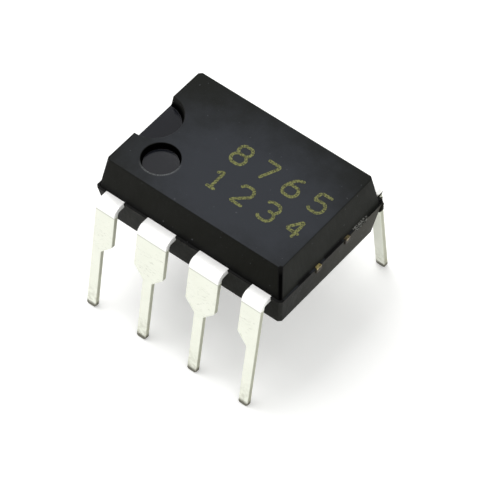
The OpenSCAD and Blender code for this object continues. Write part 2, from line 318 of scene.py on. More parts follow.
# %% Moulding compound
def wall_colour_and_painted_light(m, y, z, n_x, mottle, drag):
    """Brown-black side walls, end walls painted lighter, painted floor reflection low on them to
    +Y.
    """
    end_wall = abs(n_x).spread(0.6, 0.9)
    low_end = end_wall * (z < PART_Z)
    return m.layers(
        m.mix(mottle, (0.0022, 0.0024, 0.0012), (0.0048, 0.0050, 0.0032)),
        # Painted light: the end walls are painted lighter, as they catch more light than the side
        # walls. Low down that is taken back, and a painted reflection of the white floor brightens
        # them towards +Y.
        (end_wall, (0.0085, 0.0092, 0.0072)),
        (low_end, (0.0022, 0.0024, 0.0010)),
        (y.spread(-2.4, 2.6) * low_end * drag.between(0.6, 1.0), (0.0300, 0.0280, 0.0195)),
    )


def moulding_compound():
    """Nearly black resin: matt walls, smoother flat faces, polished pocket floors; painted light
    and shade.
    """
    m = Finish("moulding_compound")
    (x, y, z), (n_x, n_y, n_z) = m.split(m.place), m.split(m.normal)
    grain, mottle = m.noise(26.0, 4.0, 0.6), m.noise(1.1, 4.0, 0.6)
    drag, dust = m.noise(9.0, Scale=(1, 1, 0.12)), m.noise(6.0, 1.0, 0.4).spread(0.76, 0.79)
    flat = abs(n_z).spread(0.55, 0.95, smooth=True)
    walls = from_walls(x, y, z)
    rim, pocket_wall_shade, polished = pocket_floors_and_painted_light(x, y, z, n_z, *walls)
    # Painted light: the flat faces are painted lighter than the walls, as the top catches more
    # light, and lighter still in an oval round the middle of the top: a painted sheen.
    sheen_oval = far(x * 0.175 - 0.14, y * 0.255 + 0.20) + mottle.between(-0.1, 0.1)
    middle = sheen_oval.fall(0.35, 1.15, True)
    face_colour_with_sheen = m.mix(middle, (0.0062, 0.0069, 0.0056), (0.0272, 0.0300, 0.0358))
    colour = m.layers(
        m.mix(flat, wall_colour_and_painted_light(m, y, z, n_x, mottle, drag), face_colour_with_sheen),
        (grain.spread(0.62, 0.78) * 0.4, (0.075, 0.076, 0.074)),
        # Painted shade: black where the ledge keeps light off the foot of the upper walls, at the
        # upright corners and in the gap between the ties.
        (painted_seam_shade(y, z, *walls, grain), (0.0006, 0.0006, 0.0004)),
        (dust * 0.3, (0.14, 0.145, 0.16)),
        (polished, (0.0045, 0.0052, 0.0085)),
        # Painted shade on the pockets' walls.
        (pocket_wall_shade, (0.0004, 0.0004, 0.0004)),
        # Painted highlight on the dimple's near rim.
        (rim * grain.spread(0.35, 0.6), (0.11, 0.115, 0.115)),
    )
    polish = z.spread(FACE_Z - 0.5, FACE_Z - 0.35, 0.24, 0.36)
    near_wall = n_y.fall(-0.9, -0.6) * x.spread(-3.0, 4.5)
    shine = (0.09 + polished * (polish - 0.09)) * pocket_wall_shade.dim(0.1) * near_wall.dim(0.55)
    uneven = mottle.between(-0.03, 0.03) + drag.between(-0.03, 0.03)
    rough = (flat.spread(0.0, 1.0, 0.60, 0.48) + uneven) * polished.dim(0.34)
    bumps = (grain * 0.8 + drag * 0.2) * polished.dim(0.25)
    return m.done(colour, rough, bumps, 0.0035, Specular_IOR_Level=shine)


compound = moulding_compound()

# %% [markdown]
# ## Meshes from arrays
#
# A surface is worked out as whole arrays of points, ring after ring, and handed to Blender in one
# go. Each ring has as many points as the next, so the faces between two rings are the same pattern
# repeated, and a closed stack only needs a face over its first and its last ring.

# %% Mesh helpers
def make_mesh(name, points, faces, angle=32.0):
    """A mesh object from points in millimetres, facing outwards and shaded smooth."""
    mesh = bpy.data.meshes.new(name)
    mesh.from_pydata((points * MM).tolist(), [], faces)
    work = bmesh.new()
    work.from_mesh(mesh)
    bmesh.ops.recalc_face_normals(work, faces=work.faces)
    work.to_mesh(mesh)
    work.free()
    mesh.shade_smooth()
    mesh.set_sharp_from_angle(angle=math.radians(angle))
    piece = bpy.data.objects.new(name, mesh)
    bpy.context.scene.collection.objects.link(piece)
    return piece


def grid_quads(rows, columns, closed=False):
    """Four-sided faces between neighbouring points of a grid, closed round each row if asked."""
    index = np.arange(rows * columns).reshape(rows, columns)
    if closed:
        index = np.concatenate([index, index[:, :1]], 1)
    quads = [index[:-1, :-1], index[:-1, 1:], index[1:, 1:], index[1:, :-1]]
    return np.stack(quads, 2).reshape(-1, 4)


def stack(name, parts, angle=32.0):
    """Closed solids in one mesh: each part is rings, with a flat face over either end."""
    points, faces, base = [], [], 0
    for rings in parts:
        count, around = rings.shape[:2]
        faces += (grid_quads(count, around, closed=True) + base).tolist()
        first = np.arange(around) + base
        faces += [first[::-1].tolist(), (first + (count - 1) * around).tolist()]
        points.append(rings.reshape(-1, 3))
        base += count * around
    return make_mesh(name, np.concatenate(points), faces, angle)


def settle(piece, material, slot, *nodes):
    """Gives a piece its material, lets it ride, and replaces the nodes given. The slot is not used.
    """
    piece.data.materials.clear()
    piece.data.materials.append(material)
    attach(piece, "root")
    if nodes:
        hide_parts(*nodes)
    print(piece.name, len(piece.data.vertices), "points", len(piece.data.polygons), "faces")

# %% [markdown]
# Lines and outlines need a few sums again and again: the angles round a circle, the distance
# covered along a line, points at given distances, a smooth curve and rounded corners.

# %% Line helpers
def turns(count):
    """That many angles, evenly spaced all the way round."""
    return np.linspace(0, 2 * np.pi, count, endpoint=False)


def unit(v):
    """Each vector scaled to length one."""
    return v / np.linalg.norm(v, axis=-1, keepdims=True)


def distances(line):
    """The distance covered at each point of a line."""
    return np.concatenate([[0], np.cumsum(np.linalg.norm(np.diff(line, axis=0), axis=1))])


def points_at(at, run, line):
    """The points of a line at given distances; run is the distance at its own points."""
    return np.stack([np.interp(at, run, column) for column in line.T], 1)


def curve(t, *points):
    """The curve from the first point to the last, pulled towards those between."""
    n = len(points) - 1
    return sum(math.comb(n, k) * (1 - t) ** (n - k) * t ** k * p for k, p in enumerate(points))


def rounded(corners, radii, steps=5):
    """A closed outline with each corner replaced by an arc of its own radius; 0 stays sharp."""
    corners = np.asarray(corners, float)
    out = []
    for i, (p, r) in enumerate(zip(corners, radii)):
        if r <= 0:
            out.append(p[None])
            continue
        u, v = unit(corners[i - 1] - p), unit(corners[(i + 1) % len(corners)] - p)
        half = math.acos(np.clip(u @ v, -1, 1)) / 2
        c = p + unit(u + v) * r / math.sin(half)
        s, e = p + u * r / math.tan(half) - c, p + v * r / math.tan(half) - c
        turn = math.atan2(s[0] * e[1] - s[1] * e[0], s @ e)
        a = math.atan2(s[1], s[0]) + turn * np.linspace(0, 1, steps + 1)
        out.append(c + r * np.stack([np.cos(a), np.sin(a)], 1))
    return np.concatenate(out)

# %% [markdown]
# ## The moulded body
#
# The body could be a box with bevelled edges, but its walls lean by two angles, its corners are cut
# flat, and its halves meet with a step. So it is made like a stack of slices: one outline, an
# oblong with cut corners, is drawn at every level, and only its length and width change. The edges
# of the two flat faces are quarter-rounds, reached by bringing the last slices in along a circle.

# %% Outline of the body
def slice_plan(cut, soft, long_steps, short_steps):
    """Points round an oblong with cut corners: shares of its half sizes, then an offset."""
    sides = [np.linspace(-1, 1, steps)[1:-1] for steps in (long_steps, short_steps)]
    bevel = [[-2 * cut, -cut], [0, -cut], [cut, 0], [cut, 2 * cut]]
    bevel = rounded(bevel, [0, soft, soft, 0], 3)[1:-1]
    parts = []
    for turn, (c, s) in enumerate([(1, 0), (0, 1), (-1, 0), (0, -1)]):
        run = sides[turn % 2]
        share = np.stack([run, np.full_like(run, -1)], 1)
        share = np.concatenate([share, np.tile([1.0, -1.0], (len(bevel), 1))])
        offset = np.concatenate([np.tile([0.0, -cut], (len(run), 1)), bevel])
        spin = np.array([[c, s], [-s, c]])
        parts.append(np.concatenate([share @ spin, offset @ spin], 1))
    return np.concatenate(parts)


def slice_rings(levels, plan, cut):
    """Rings of the plan at each level, which is a height, a half length and a half width."""
    z, half_l, half_w = (levels[:, k, None] for k in range(3))
    x = plan[None, :, 0] * (half_l - cut) + plan[None, :, 2]
    y = plan[None, :, 1] * (half_w - cut) + plan[None, :, 3]
    return np.stack([x, y, np.broadcast_to(z, x.shape)], 2)


plan = slice_plan(CORNER_CUT, soft=0.05, long_steps=25, short_steps=19)
print("points round each level", len(plan))

# %% [markdown]
# The lower half ends in a rounded lip a little below the parting plane, and the upper half stands
# on the ledge behind it with a small soft foot: the two tools meet in just this step.

# %% Levels of the body
LEDGE_DROP, LIP, FOOT_OUT, FOOT_SOFT, FOOT_UP = 0.006, 0.018, 0.02, 0.006, 0.014


def half_levels(length, width, height, steps=9, edge_steps=7):
    """Levels of one half from its foot up: a drafted wall, then a quarter-round."""
    wall = np.linspace(0, height - EDGE_R * (1 - math.sin(SIDE_DRAFT)), steps)
    edge = height - EDGE_R + EDGE_R * np.sin(np.radians(np.linspace(18, 90, edge_steps)))
    z = np.concatenate([wall, edge])
    sides = []
    for size, draft in ((length / 2, END_DRAFT), (width / 2, SIDE_DRAFT)):
        lean = size - z * math.tan(draft)
        face = size - height * math.tan(draft)
        centre = face - EDGE_R / math.tan(math.pi / 4 + draft / 2)
        rise = np.clip((z - height + EDGE_R) / EDGE_R, 0, 1)
        round_off = centre + EDGE_R * np.sqrt(1 - rise ** 2)
        sides.append(np.where(rise > math.sin(draft), np.minimum(round_off, lean), lean))
    return np.stack([z, *sides], 1)


lower = half_levels(BODY_L, BODY_W, LOWER_H)[::-1] * [-1, 1, 1] + [PART_Z, 0, 0]
upper = half_levels(UPPER_L, UPPER_W, FACE_Z - PART_Z) + [PART_Z, 0, 0]
lower[-1, 0] -= LIP + LEDGE_DROP
upper[0] += [FOOT_UP, 0, 0]
ledge_z = PART_Z - LEDGE_DROP
step = np.array([
    [ledge_z - 0.3 * LIP, BODY_L / 2 - 0.3 * LIP, BODY_W / 2 - 0.3 * LIP],
    [ledge_z, BODY_L / 2 - LIP, BODY_W / 2 - LIP],
    [ledge_z, UPPER_L / 2 + FOOT_OUT, UPPER_W / 2 + FOOT_OUT],
    [ledge_z + FOOT_SOFT, UPPER_L / 2 + FOOT_SOFT, UPPER_W / 2 + FOOT_SOFT],
])
body_levels = np.concatenate([lower, step, upper])
body = stack("moulded_body", [slice_rings(body_levels, plan, CORNER_CUT)])
print("body levels", len(body_levels))

# %% [markdown]
# The marks are cut out of the body, because the notch, the dimple and the ejector pin marks are
# where a pin or a key of the tool stood in the compound. Each cutter is a stack of rings too. It
# flares like a trumpet where it passes the face, and that flare is what rounds the rim.

# %% Cutters for the notch, the dimple and the ejector pin marks
NOTCH_DRAFT, DIMPLE_DRAFT, EJECTOR_DRAFT = math.radians(4), math.radians(6), math.radians(20)
NOTCH_FLOOR, DIMPLE_FLOOR, EJECTOR_FLOOR = 0.06, 0.05, 0.02
NOTCH_RIM, DIMPLE_RIM, EJECTOR_RIM = 0.03, 0.035, 0.02
NOTCH_TAIL, NOTCH_SPARE, CUTTER_TOP = 0.6, 0.002, 0.25


def cutter_levels(radius, depth, floor_r, rim_r, draft):
    """Heights from the face, and radii: a rounded floor edge, a drafted wall, a flared rim."""
    low, high = np.radians(np.linspace(-90, -8, 7)), np.radians(np.linspace(180, 96, 7))
    floor_radius = radius - (depth - rim_r) * math.tan(draft) - rim_r
    z = [-depth + floor_r * (1 + np.sin(low)), -rim_r + rim_r * np.sin(high), [CUTTER_TOP]]
    r = [floor_radius - floor_r + floor_r * np.cos(low), radius + rim_r * np.cos(high)]
    return np.concatenate(z), np.concatenate([*r, r[1][-1:]])


def round_cutter(name, place, face_z, levels, up=1, around=96):
    """A cutter that stands on the face at its place; up is -1 for one that enters from below."""
    z, r = (column[:, None] for column in levels)
    a, (x, y) = turns(around), place
    rings = [x + r * np.cos(a), y + r * np.sin(a), face_z + up * z + 0 * a]
    return stack(name, [np.stack(rings, 2)])


def notch_cutter(name, around=72):
    """Half a circle at each level, carried on past the end wall and flared at that wall."""
    a = np.linspace(-90, 90, around) * math.pi / 180
    turn = np.radians(np.linspace(90, 4, 5))
    levels = cutter_levels(NOTCH_R, NOTCH_DEPTH, NOTCH_FLOOR, NOTCH_RIM, NOTCH_DRAFT)
    rings = []
    for level, radius in zip(*levels):
        wall_x = -TOP_L / 2 + min(level, 0) * math.tan(END_DRAFT)
        start = max(-TOP_L / 2, wall_x + NOTCH_RIM + NOTCH_SPARE)
        arc = np.stack([start + radius * np.cos(a), radius * np.sin(a)], 1)
        flare = np.stack([wall_x + NOTCH_RIM - NOTCH_RIM * np.cos(turn),
                          radius + NOTCH_RIM - NOTCH_RIM * np.sin(turn)], 1)
        far_side = np.concatenate([flare, [[wall_x - NOTCH_TAIL, flare[-1, 1]]]])
        ring = np.concatenate([arc, far_side, far_side[::-1] * [1, -1]])
        rings.append(np.column_stack([ring, np.full(len(ring), FACE_Z + level)]))
    return stack(name, [np.array(rings)])


dimple_levels = cutter_levels(DIMPLE_R, DIMPLE_DEPTH, DIMPLE_FLOOR, DIMPLE_RIM, DIMPLE_DRAFT)
ejector_levels = cutter_levels(
    EJECTOR_R, EJECTOR_DEPTH, EJECTOR_FLOOR, EJECTOR_RIM, EJECTOR_DRAFT)
cutters = [
    round_cutter("dimple_cutter", (DIMPLE_X, DIMPLE_Y), FACE_Z, dimple_levels),
    notch_cutter("notch_cutter"),
    round_cutter("ejector_cutter_1", (-EJECTOR_X, 0), BASE_Z, ejector_levels, up=-1),
    round_cutter("ejector_cutter_3", (EJECTOR_X, 0), BASE_Z, ejector_levels, up=-1),
]
print("cutters", [tool.name for tool in cutters])

# %% [markdown]
# The pockets could be faked with a dark patch or a bump, but they are up to half a millimetre deep
# and catch real shadows. So each cutter is taken out by an exact Boolean, and the result is applied
# at once: the body stays one closed mesh.

# %% Cut the marks
def cut_away(piece, tools, angle=32.0):
    """Cuts each tool out of the piece, applies the result and removes the tools."""
    for tool in tools:
        cut = piece.modifiers.new(tool.name, "BOOLEAN")
        cut.operation, cut.solver, cut.object = "DIFFERENCE", "EXACT", tool
    evaluated = piece.evaluated_get(bpy.context.evaluated_depsgraph_get())
    done = bpy.data.meshes.new_from_object(evaluated)
    piece.modifiers.clear()
    piece.data = done
    for tool in tools:
        bpy.data.objects.remove(tool)
    done.shade_smooth()
    done.set_sharp_from_angle(angle=math.radians(angle))


cut_away(body, cutters)
settle(body, compound, "moulding_compound", "package_body")

# %% [markdown]
# ## Tin plate
#
# The legs are copper alloy strip, stamped, bent and plated with tin. Tin is almost white and only
# half a mirror: it has a fine matt frost, streaks along the strip, and small scratches where the
# bending tool rubbed it. The sheared edges are darker, and at the tips, which are cut last, the
# bare alloy shows, darkened further by a painted contact shadow at the very bottom. The bend is
# painted whiter, as painted light, and the crease below it darker, as painted shade. Where the
# edges and the crease lie is stored on each leg's mesh as it is made.

# %% Tin plate
RUBBED_LOW, RUBBED_HIGH = (2.9, 3.4), (4.6, 5.1)
BEND_PAINTED_LIGHT_Z, LOW_LEG_DARKENING_Z, TIP_CUT_AND_SHADOW_Z = (5.24, 5.32), (0.2, 1.4), (0.13, 0.31)


def tin_plate():
    """Pale frosted metal: painted whiter round the bend, scratched below it, dark at the cut tip.
    """
    m = Finish("tin_plate")
    z = m.split(m.place)[2]
    frost, cloud = m.noise(30.0, 3.0, 0.6), m.noise(1.8, 3.0, 0.5)
    streak = m.noise(16.0, Scale=(1, 0.08, 0.08))
    rub = m.noise(1.9, 3.0, 0.6, 1.6, Rotation=(0, 0.12, 0), Scale=(1.5, 0.5, 8.0))
    shoulder = z.spread(*RUBBED_LOW) * z.fall(*RUBBED_HIGH)
    scratch = rub.spread(0.605, 0.655) * (shoulder * 0.75 + 0.25)
    edge, crease = m.stored("sheared"), m.stored("crease")
    ragged = z + frost.between(-0.06, 0.06)
    blotch = edge * 0.45 + m.noise(5.0).spread(0.42, 0.62)
    colour = m.layers(
        m.mix(cloud, (0.800, 0.820, 0.715), (0.870, 0.882, 0.790)),
        (scratch * 0.55, (0.50, 0.51, 0.42)),
        # Painted light: the bend and the flat above it face up to the lamps and are painted whiter.
        (z.spread(*BEND_PAINTED_LIGHT_Z), (0.97, 0.97, 0.955)),
        (edge, m.mix(streak, (0.30, 0.31, 0.23), (0.46, 0.47, 0.37))),
        # Painted shade in the crease below the bend.
        (crease * 0.65, (0.36, 0.37, 0.31)),
        # Darker towards the bottom of each leg, in blotches.
        (ragged.spread(*LOW_LEG_DARKENING_Z, 0.42, 0.0) * blotch, (0.30, 0.29, 0.20)),
        # The cut tip's bare alloy, darkened further at the very bottom by a painted contact shadow.
        (ragged.fall(*TIP_CUT_AND_SHADOW_Z, True) * 0.9, (0.050, 0.045, 0.022)),
    )
    rough, bumps = frost.between(0.36, 0.48) + edge * 0.15, frost * 0.5 + streak * 0.5 - scratch
    return m.done(colour, rough, bumps, 0.003, Metallic=0.4)


tin = tin_plate()

# %% [markdown]
# ## The legs
#
# Each lead is one piece of flat strip: a finger inside the body, a shoulder, and a narrow shank. It
# is stamped flat and then bent down, and the mesh follows the same two steps. The stamped outline
# is two edges, the least and the greatest X at every distance along the strip; between them runs a
# section with rounded corners; and the path that carries it goes flat, round the bend, and down the
# leg. So the width stays right in the bend.

# %% Path of a lead
BEND_ANGLE = math.pi / 2 - SPLAY
BEND_LEN = (BEND_R + STRIP_T / 2) * BEND_ANGLE
OUTER_R = BEND_R + STRIP_T


def strip_path(s):
    """Outer face and its normal, as (y, z), at distance s from the bend: flat, arc, leg."""
    a = np.clip(s / BEND_LEN, 0, 1) * BEND_ANGLE
    past = np.maximum(s - BEND_LEN, 0)
    y = -BEND_Y - np.minimum(s, 0) - OUTER_R * np.sin(a) - past * math.sin(SPLAY)
    z = BEND_Z + OUTER_R * np.cos(a) - past * math.cos(SPLAY)
    return np.stack([y, z], 1), np.stack([-np.sin(a), np.cos(a)], 1)


print("length round the bend", round(BEND_LEN, 3))

# %% [markdown]
# The four leads of a row are not alike. The outer two have a shoulder on one side only and a finger
# that runs round the pad's tie; the inner two have both shoulders and a finger that points at the
# pad. Leads 1 and 2 are leads 4 and 3 with left and right exchanged.

# %% Outline of a lead
FINGER_W, FINGER_GAP, FINGER_X, HOLD_IN = 0.5, 0.2, 0.55, 0.45
ARM_X, ARM_Y = PAD_L / 2 + FINGER_GAP, TIE_Y + TIE_W / 2 + FINGER_GAP
TIP_Y = PAD_W / 2 + FINGER_GAP
SHOULDER_LEN, SHOULDER_TAPER, SHOULDER_R, TIP_CUT, STAMP_R = 1.7, 0.52, 0.12, 0.06, 0.1


def finger_outline(i, inner, outer):
    """Stamped outline inside the body, as (x, s) points from side to side of the strip."""
    if i in (1, 4):
        bevel, arm, far_arm = FINGER_W / 2, ARM_Y - BEND_Y, ARM_Y + FINGER_W - BEND_Y
        return rounded(
            [[inner, 0], [inner, far_arm + bevel], [inner - bevel, far_arm], [ARM_X, far_arm],
             [ARM_X, arm], [outer - FINGER_W, arm], [outer, far_arm], [outer, 0]],
            [0, bevel / 3, bevel / 3, STAMP_R, STAMP_R, bevel / 2, bevel / 2, 0])
    hold, neck, tip = BODY_W / 2 - HOLD_IN - BEND_Y, TIP_Y + FINGER_W - BEND_Y, TIP_Y - BEND_Y
    near_x, far_x = FINGER_X - FINGER_W / 2, FINGER_X + FINGER_W / 2
    return rounded(
        [[inner, 0], [inner, hold], [near_x, neck], [near_x, tip], [far_x, tip], [far_x, neck],
         [outer, hold], [outer, 0]], [0, *[STAMP_R] * 6, 0])


def leg_edge(half):
    """One edge of the leg, as (s, distance from the middle): shoulder, taper, cut tip."""
    w = SHANK_W / 2
    r = SHOULDER_R if half > w else 0
    path = [[0, half], [SHOULDER_LEN, half], [SHOULDER_LEN + SHOULDER_TAPER, w],
            [LEG_LEN - TIP_CUT, w], [LEG_LEN, w - TIP_CUT], [LEG_LEN, -1], [0, -1]]
    return rounded(path, [0, r, r / 2, 0, 0, 0, 0])[:-2]


def lead_edges(i):
    """Both edges of lead i of a row, as (s, x) points, from the finger's end to the tip."""
    centre, outer_half = (i - 2.5) * PITCH, (SHANK_W if i in (1, 4) else SHOULDER_W) / 2
    flat = finger_outline(i, abs(centre) - SHOULDER_W / 2, abs(centre) + outer_half)[:, ::-1]
    split = int(np.argmin(flat[:, 0] + 1e-6 * flat[:, 1]))
    edges = [flat[:split + 1][::-1], flat[split + 1:]]
    halves = [SHOULDER_W / 2, outer_half]
    if i <= 2:
        edges, halves = [edge * [1, -1] for edge in edges[::-1]], halves[::-1]
    out = []
    for way, edge, half in zip((-1, 1), edges, halves):
        leg = leg_edge(half) * [1, way] + [BEND_LEN, centre]
        out.append(np.concatenate([edge, leg]))
    return out


print("points on the edges", [len(edge) for i in range(1, 5) for edge in lead_edges(i)])

# %% [markdown]
# The stamping tool draws the edges over, so the section's corners are rounded. Its points run round
# it once, and it is carried along the path as one ring after another.

# %% Section of the strip
STRIP_EDGE_R = 0.028


def strip_section(edge_r, across=7, arc=4):
    """Closed section: share across the width, offset from that edge, depth below the outer face."""
    a = np.linspace(0, 1, across)
    top_side = np.stack([a, edge_r * (1 - 2 * a), np.zeros(across)], 1)
    bend = np.radians(np.linspace(90, 0, arc + 1))[1:]
    corner = np.stack([np.ones(arc), edge_r * (np.cos(bend) - 1), edge_r * (1 - np.sin(bend))], 1)
    half = np.concatenate([top_side[across // 2:], corner, [[1, 0, STRIP_T / 2]]])
    right_half = np.concatenate([half, half[::-1][1:] * [1, 1, -1] + [0, 0, STRIP_T]])
    left_half = right_half[::-1][1:-1] * [-1, -1, 1] + [1, 0, 0]
    return np.concatenate([right_half, left_half])


section = strip_section(STRIP_EDGE_R)
print("points round the strip", len(section))

# %% [markdown]
# Rows are set where the outline has a point, close together round the bend and the crease, and
# every tenth of a millimetre elsewhere. The bending tool presses the leg slightly thinner, so its
# face drops by about two hundredths of a millimetre just below the bend, with a shallow crease at
# the change. The strip's ends are drawn in over the last hundredth.

# %% Leads
CREASE_AT, CREASE_DEPTH, CREASE_W, PRESS_DEPTH, PRESS_W = 0.09, 0.012, 0.025, 0.018, 0.015
END_ROUND, END_LEN = 0.016, 0.012
SHEAR_AT_BEND, SHEAR_RAMP, CREASE_SHADE = 0.08, 0.05, 0.03


def press_depth(s):
    """How far the outer face lies below the strip's own: a crease, then a lightly pressed leg."""
    below = s - BEND_LEN - CREASE_AT
    crease = CREASE_DEPTH * np.exp(-(below / CREASE_W) ** 2)
    return crease + PRESS_DEPTH / (1 + np.exp(-below / PRESS_W))


def lead_rows(start, stop, *edges):
    """Distances of the rows: all outline points, the bend, the crease and both ends."""
    rows = np.concatenate([
        *(edge[:, 0] for edge in edges), np.linspace(start, 0, 24), np.linspace(0, BEND_LEN, 28),
        BEND_LEN + CREASE_AT + np.linspace(-0.08, 0.08, 21), np.linspace(BEND_LEN, stop, 60),
        stop - np.array([END_LEN, END_LEN / 3]),
    ])
    return np.unique(np.round(np.clip(rows, start, stop), 5))


def row_turn(n):
    """Signs of X, Y and Z: the far row, 5 to 8, is the near row turned by half a turn."""
    return [-1, -1, 1] if n > 4 else [1, 1, 1]


def lead_mesh(n):
    """Lead n: the section laid between both edges at each row of its path."""
    edges = lead_edges((n - 1) % 4 + 1)
    start, stop = max(edge[0, 0] for edge in edges), BEND_LEN + LEG_LEN
    rows = lead_rows(start, stop, *edges)
    x_low, x_high = (
        np.interp(rows, edge[:, 0] + np.arange(len(edge)) * 1e-7, edge[:, 1])[:, None]
        for edge in edges)
    share, offset, depth = section.T
    x = x_low * (1 - share) + x_high * share + offset
    w = depth + press_depth(rows)[:, None] * (1 - depth / STRIP_T)
    to_end = np.minimum(rows - start, stop - rows)[:, None]
    w = w + END_ROUND * np.clip(1 - to_end / END_LEN, 0, 1) * (1 - 2 * depth / STRIP_T)
    face, normal = strip_path(rows)
    y = face[:, 0, None] - w * normal[:, 0, None]
    z = face[:, 1, None] - w * normal[:, 1, None]
    piece = stack(f"tinned_lead_{n}", [np.stack([x, y, z], 2) * row_turn(n)], 40)
    past = (rows - BEND_LEN - CREASE_AT)[:, None]
    sheared = np.clip(np.minimum(depth, STRIP_T - depth) / STRIP_EDGE_R - 0.3, 0, 1)
    below = np.clip(past / SHEAR_RAMP, 0, 1)
    sheared = sheared * (SHEAR_AT_BEND + (1 - SHEAR_AT_BEND) * below)
    # Where shade is painted in the crease below the bend.
    crease = np.exp(-(past / CREASE_SHADE) ** 2) * (depth < STRIP_T / 2)
    for label, value in (("sheared", sheared), ("crease", crease)):
        layer = piece.data.attributes.new(label, "FLOAT", "POINT")
        layer.data.foreach_set("value", value.ravel().astype(np.float32))
    settle(piece, tin, "tinned_lead", f"lead_{n}")


for n in range(1, 9):
    lead_mesh(n)

# %% [markdown]
# ## Laser marks
#
# The writing on such a body is not ink: a laser spot an eighth of a millimetre wide is steered
# along each stroke and bleaches the carbon out of the resin, pulse by pulse. Here the numbers of
# the eight leads are marked, each row of four above its own row of legs. The glyphs are a
# plotter's: each is one to three paths in a box of 100 by 100.

# %% Strokes of the numerals
STROKES = {
    "1": [[(15, 78), (55, 100), (55, 0)], [(20, 0), (90, 0)]],
    "2": [[(0, 78), (20, 100), (80, 100), (100, 80), (100, 60), (0, 0), (100, 0)]],
    "3": [[(0, 85), (20, 100), (80, 100), (100, 82), (100, 65), (80, 52), (40, 52)],
          [(80, 52), (100, 38), (100, 18), (80, 0), (20, 0), (0, 15)]],
    "4": [[(72, 0), (72, 100), (0, 30), (100, 30)]],
    "5": [[(95, 100), (10, 100)], [(10, 100), (4, 52)],
          [(4, 52), (30, 60), (78, 60), (100, 42), (100, 18), (78, 0), (20, 0), (0, 15)]],
    "6": [[(85, 100), (35, 90), (0, 45), (0, 18), (20, 0), (80, 0), (100, 18), (100, 38), (80, 56),
           (20, 56), (2, 42)]],
    "7": [[(0, 100), (100, 100), (35, 0)]],
    "8": [[(22, 53), (5, 66), (5, 85), (22, 100), (78, 100), (95, 85), (95, 66), (78, 53), (22, 53),
           (0, 38), (0, 18), (20, 0), (80, 0), (100, 18), (100, 38), (78, 53)]],
}
print("numerals", len(STROKES), "strokes", sum(len(paths) for paths in STROKES.values()))

# %% [markdown]
# A thin ribbon with round ends is laid on each path. It has four points in each ring, two on top
# and two inside the skin of the body, and its corners are softened. Its top falls by little more
# than a thousandth of a millimetre from start to end, so that two strokes that cross never lie in
# one plane.

# %% Ribbons
GLYPH_W, GLYPH_H, STROKE_W, GLYPH_STEP = 0.62, 0.92, 0.135, 1.25
TURN_R, TURN_SHARE, SPLIT_LEN, STROKE_FALL = 0.16, 0.45, 0.1, 0.0014


def soft_path(points, radius, arc=4):
    """The path with softened bends and split straight runs, and its distances."""
    out = [points[:1]]
    for a, p, b in zip(points[:-2], points[1:-1], points[2:]):
        shorter = min(np.linalg.norm(a - p), np.linalg.norm(b - p))
        reach = min(radius, TURN_SHARE * shorter)
        t = np.linspace(0, 1, arc + 1)[:, None]
        out.append(curve(t, p + unit(a - p) * reach, p, p + unit(b - p) * reach))
    line = np.concatenate([*out, points[-1:]])
    run = distances(line)
    at = np.unique(np.concatenate([run, np.arange(0, run[-1], SPLIT_LEN)]).round(6))
    return points_at(at, run, line), at


def ribbon(points, width, low, high):
    """Rings of a flat ribbon along a path: full width between ends that close in a half circle."""
    line, run = soft_path(points, TURN_R)
    half, length = width / 2, run[-1]
    ends = half * (1 - np.cos(np.radians(np.linspace(8, 90, 6))))
    inside = run[(run > half) & (run < length - half)]
    at = np.unique(np.concatenate([ends, length - ends, inside]).round(6))
    line = points_at(at, run, line)
    way = unit(np.gradient(line, axis=0))
    to_end = np.minimum(np.minimum(at, length - at), half)
    wide = np.sqrt(np.maximum(half ** 2 - (half - to_end) ** 2, 1e-6))[:, None]
    side = np.stack([-way[:, 1], way[:, 0]], 1) * wide
    foot, top_z = low + 0 * at, high - STROKE_FALL * at / length
    corners = [(line + side, foot), (line + side, top_z), (line - side, top_z), (line - side, foot)]
    return np.stack([np.column_stack([c, z]) for c, z in corners], 1)

# %% [markdown]
# The laser's pulses leave pale dots with darker gaps, a dull yellow-green line with no depth to
# speak of. So the colour follows a noise with grains about half as wide as the line.

# %% Lay out the numerals
ROWS, ROW_X, GLYPH_SUNK, GLYPH_UNDER = ((0.98, "8765"), (-0.52, "1234")), -0.62, 0.002, 0.0006


def laser_mark():
    """Bleached resin: dots in two shades of yellow-green, with nearly black gaps."""
    m = Finish("laser_mark")
    pulses = m.noise(15.0, 2.0, 0.6)
    mark = m.mix(m.noise(3.5, 2.0), (0.125, 0.129, 0.042), (0.228, 0.239, 0.090))
    colour = m.mix(pulses.spread(0.40, 0.56), (0.050, 0.051, 0.029), mark)
    return m.done(colour, pulses.between(0.85, 0.6), pulses, 0.003, Specular_IOR_Level=0.13)


ribbons = []
for row_y, figures in ROWS:
    for k, figure in enumerate(figures):
        corner = np.array([ROW_X + GLYPH_STEP * k, row_y - GLYPH_H])
        for path_points in STROKES[figure]:
            placed = corner + np.array(path_points) / 100 * [GLYPH_W, GLYPH_H]
            ribbons.append(ribbon(placed, STROKE_W, FACE_Z - GLYPH_SUNK, TOP_Z - GLYPH_UNDER))
settle(stack("laser_numerals", ribbons), laser_mark(), "moulding_compound")

# %% [markdown]
# ## The torn gate
#
# The compound entered the tool through a small gate at one end, just under the parting plane. Where
# it was snapped off it leaves a ragged grey scar, because the fresh break is not polished by the
# tool. The scar is a grid laid over the wall, pushed out by ragged curves and sunk into the wall at
# its rim. Each ragged curve is a sum of sines that always comes out the same.

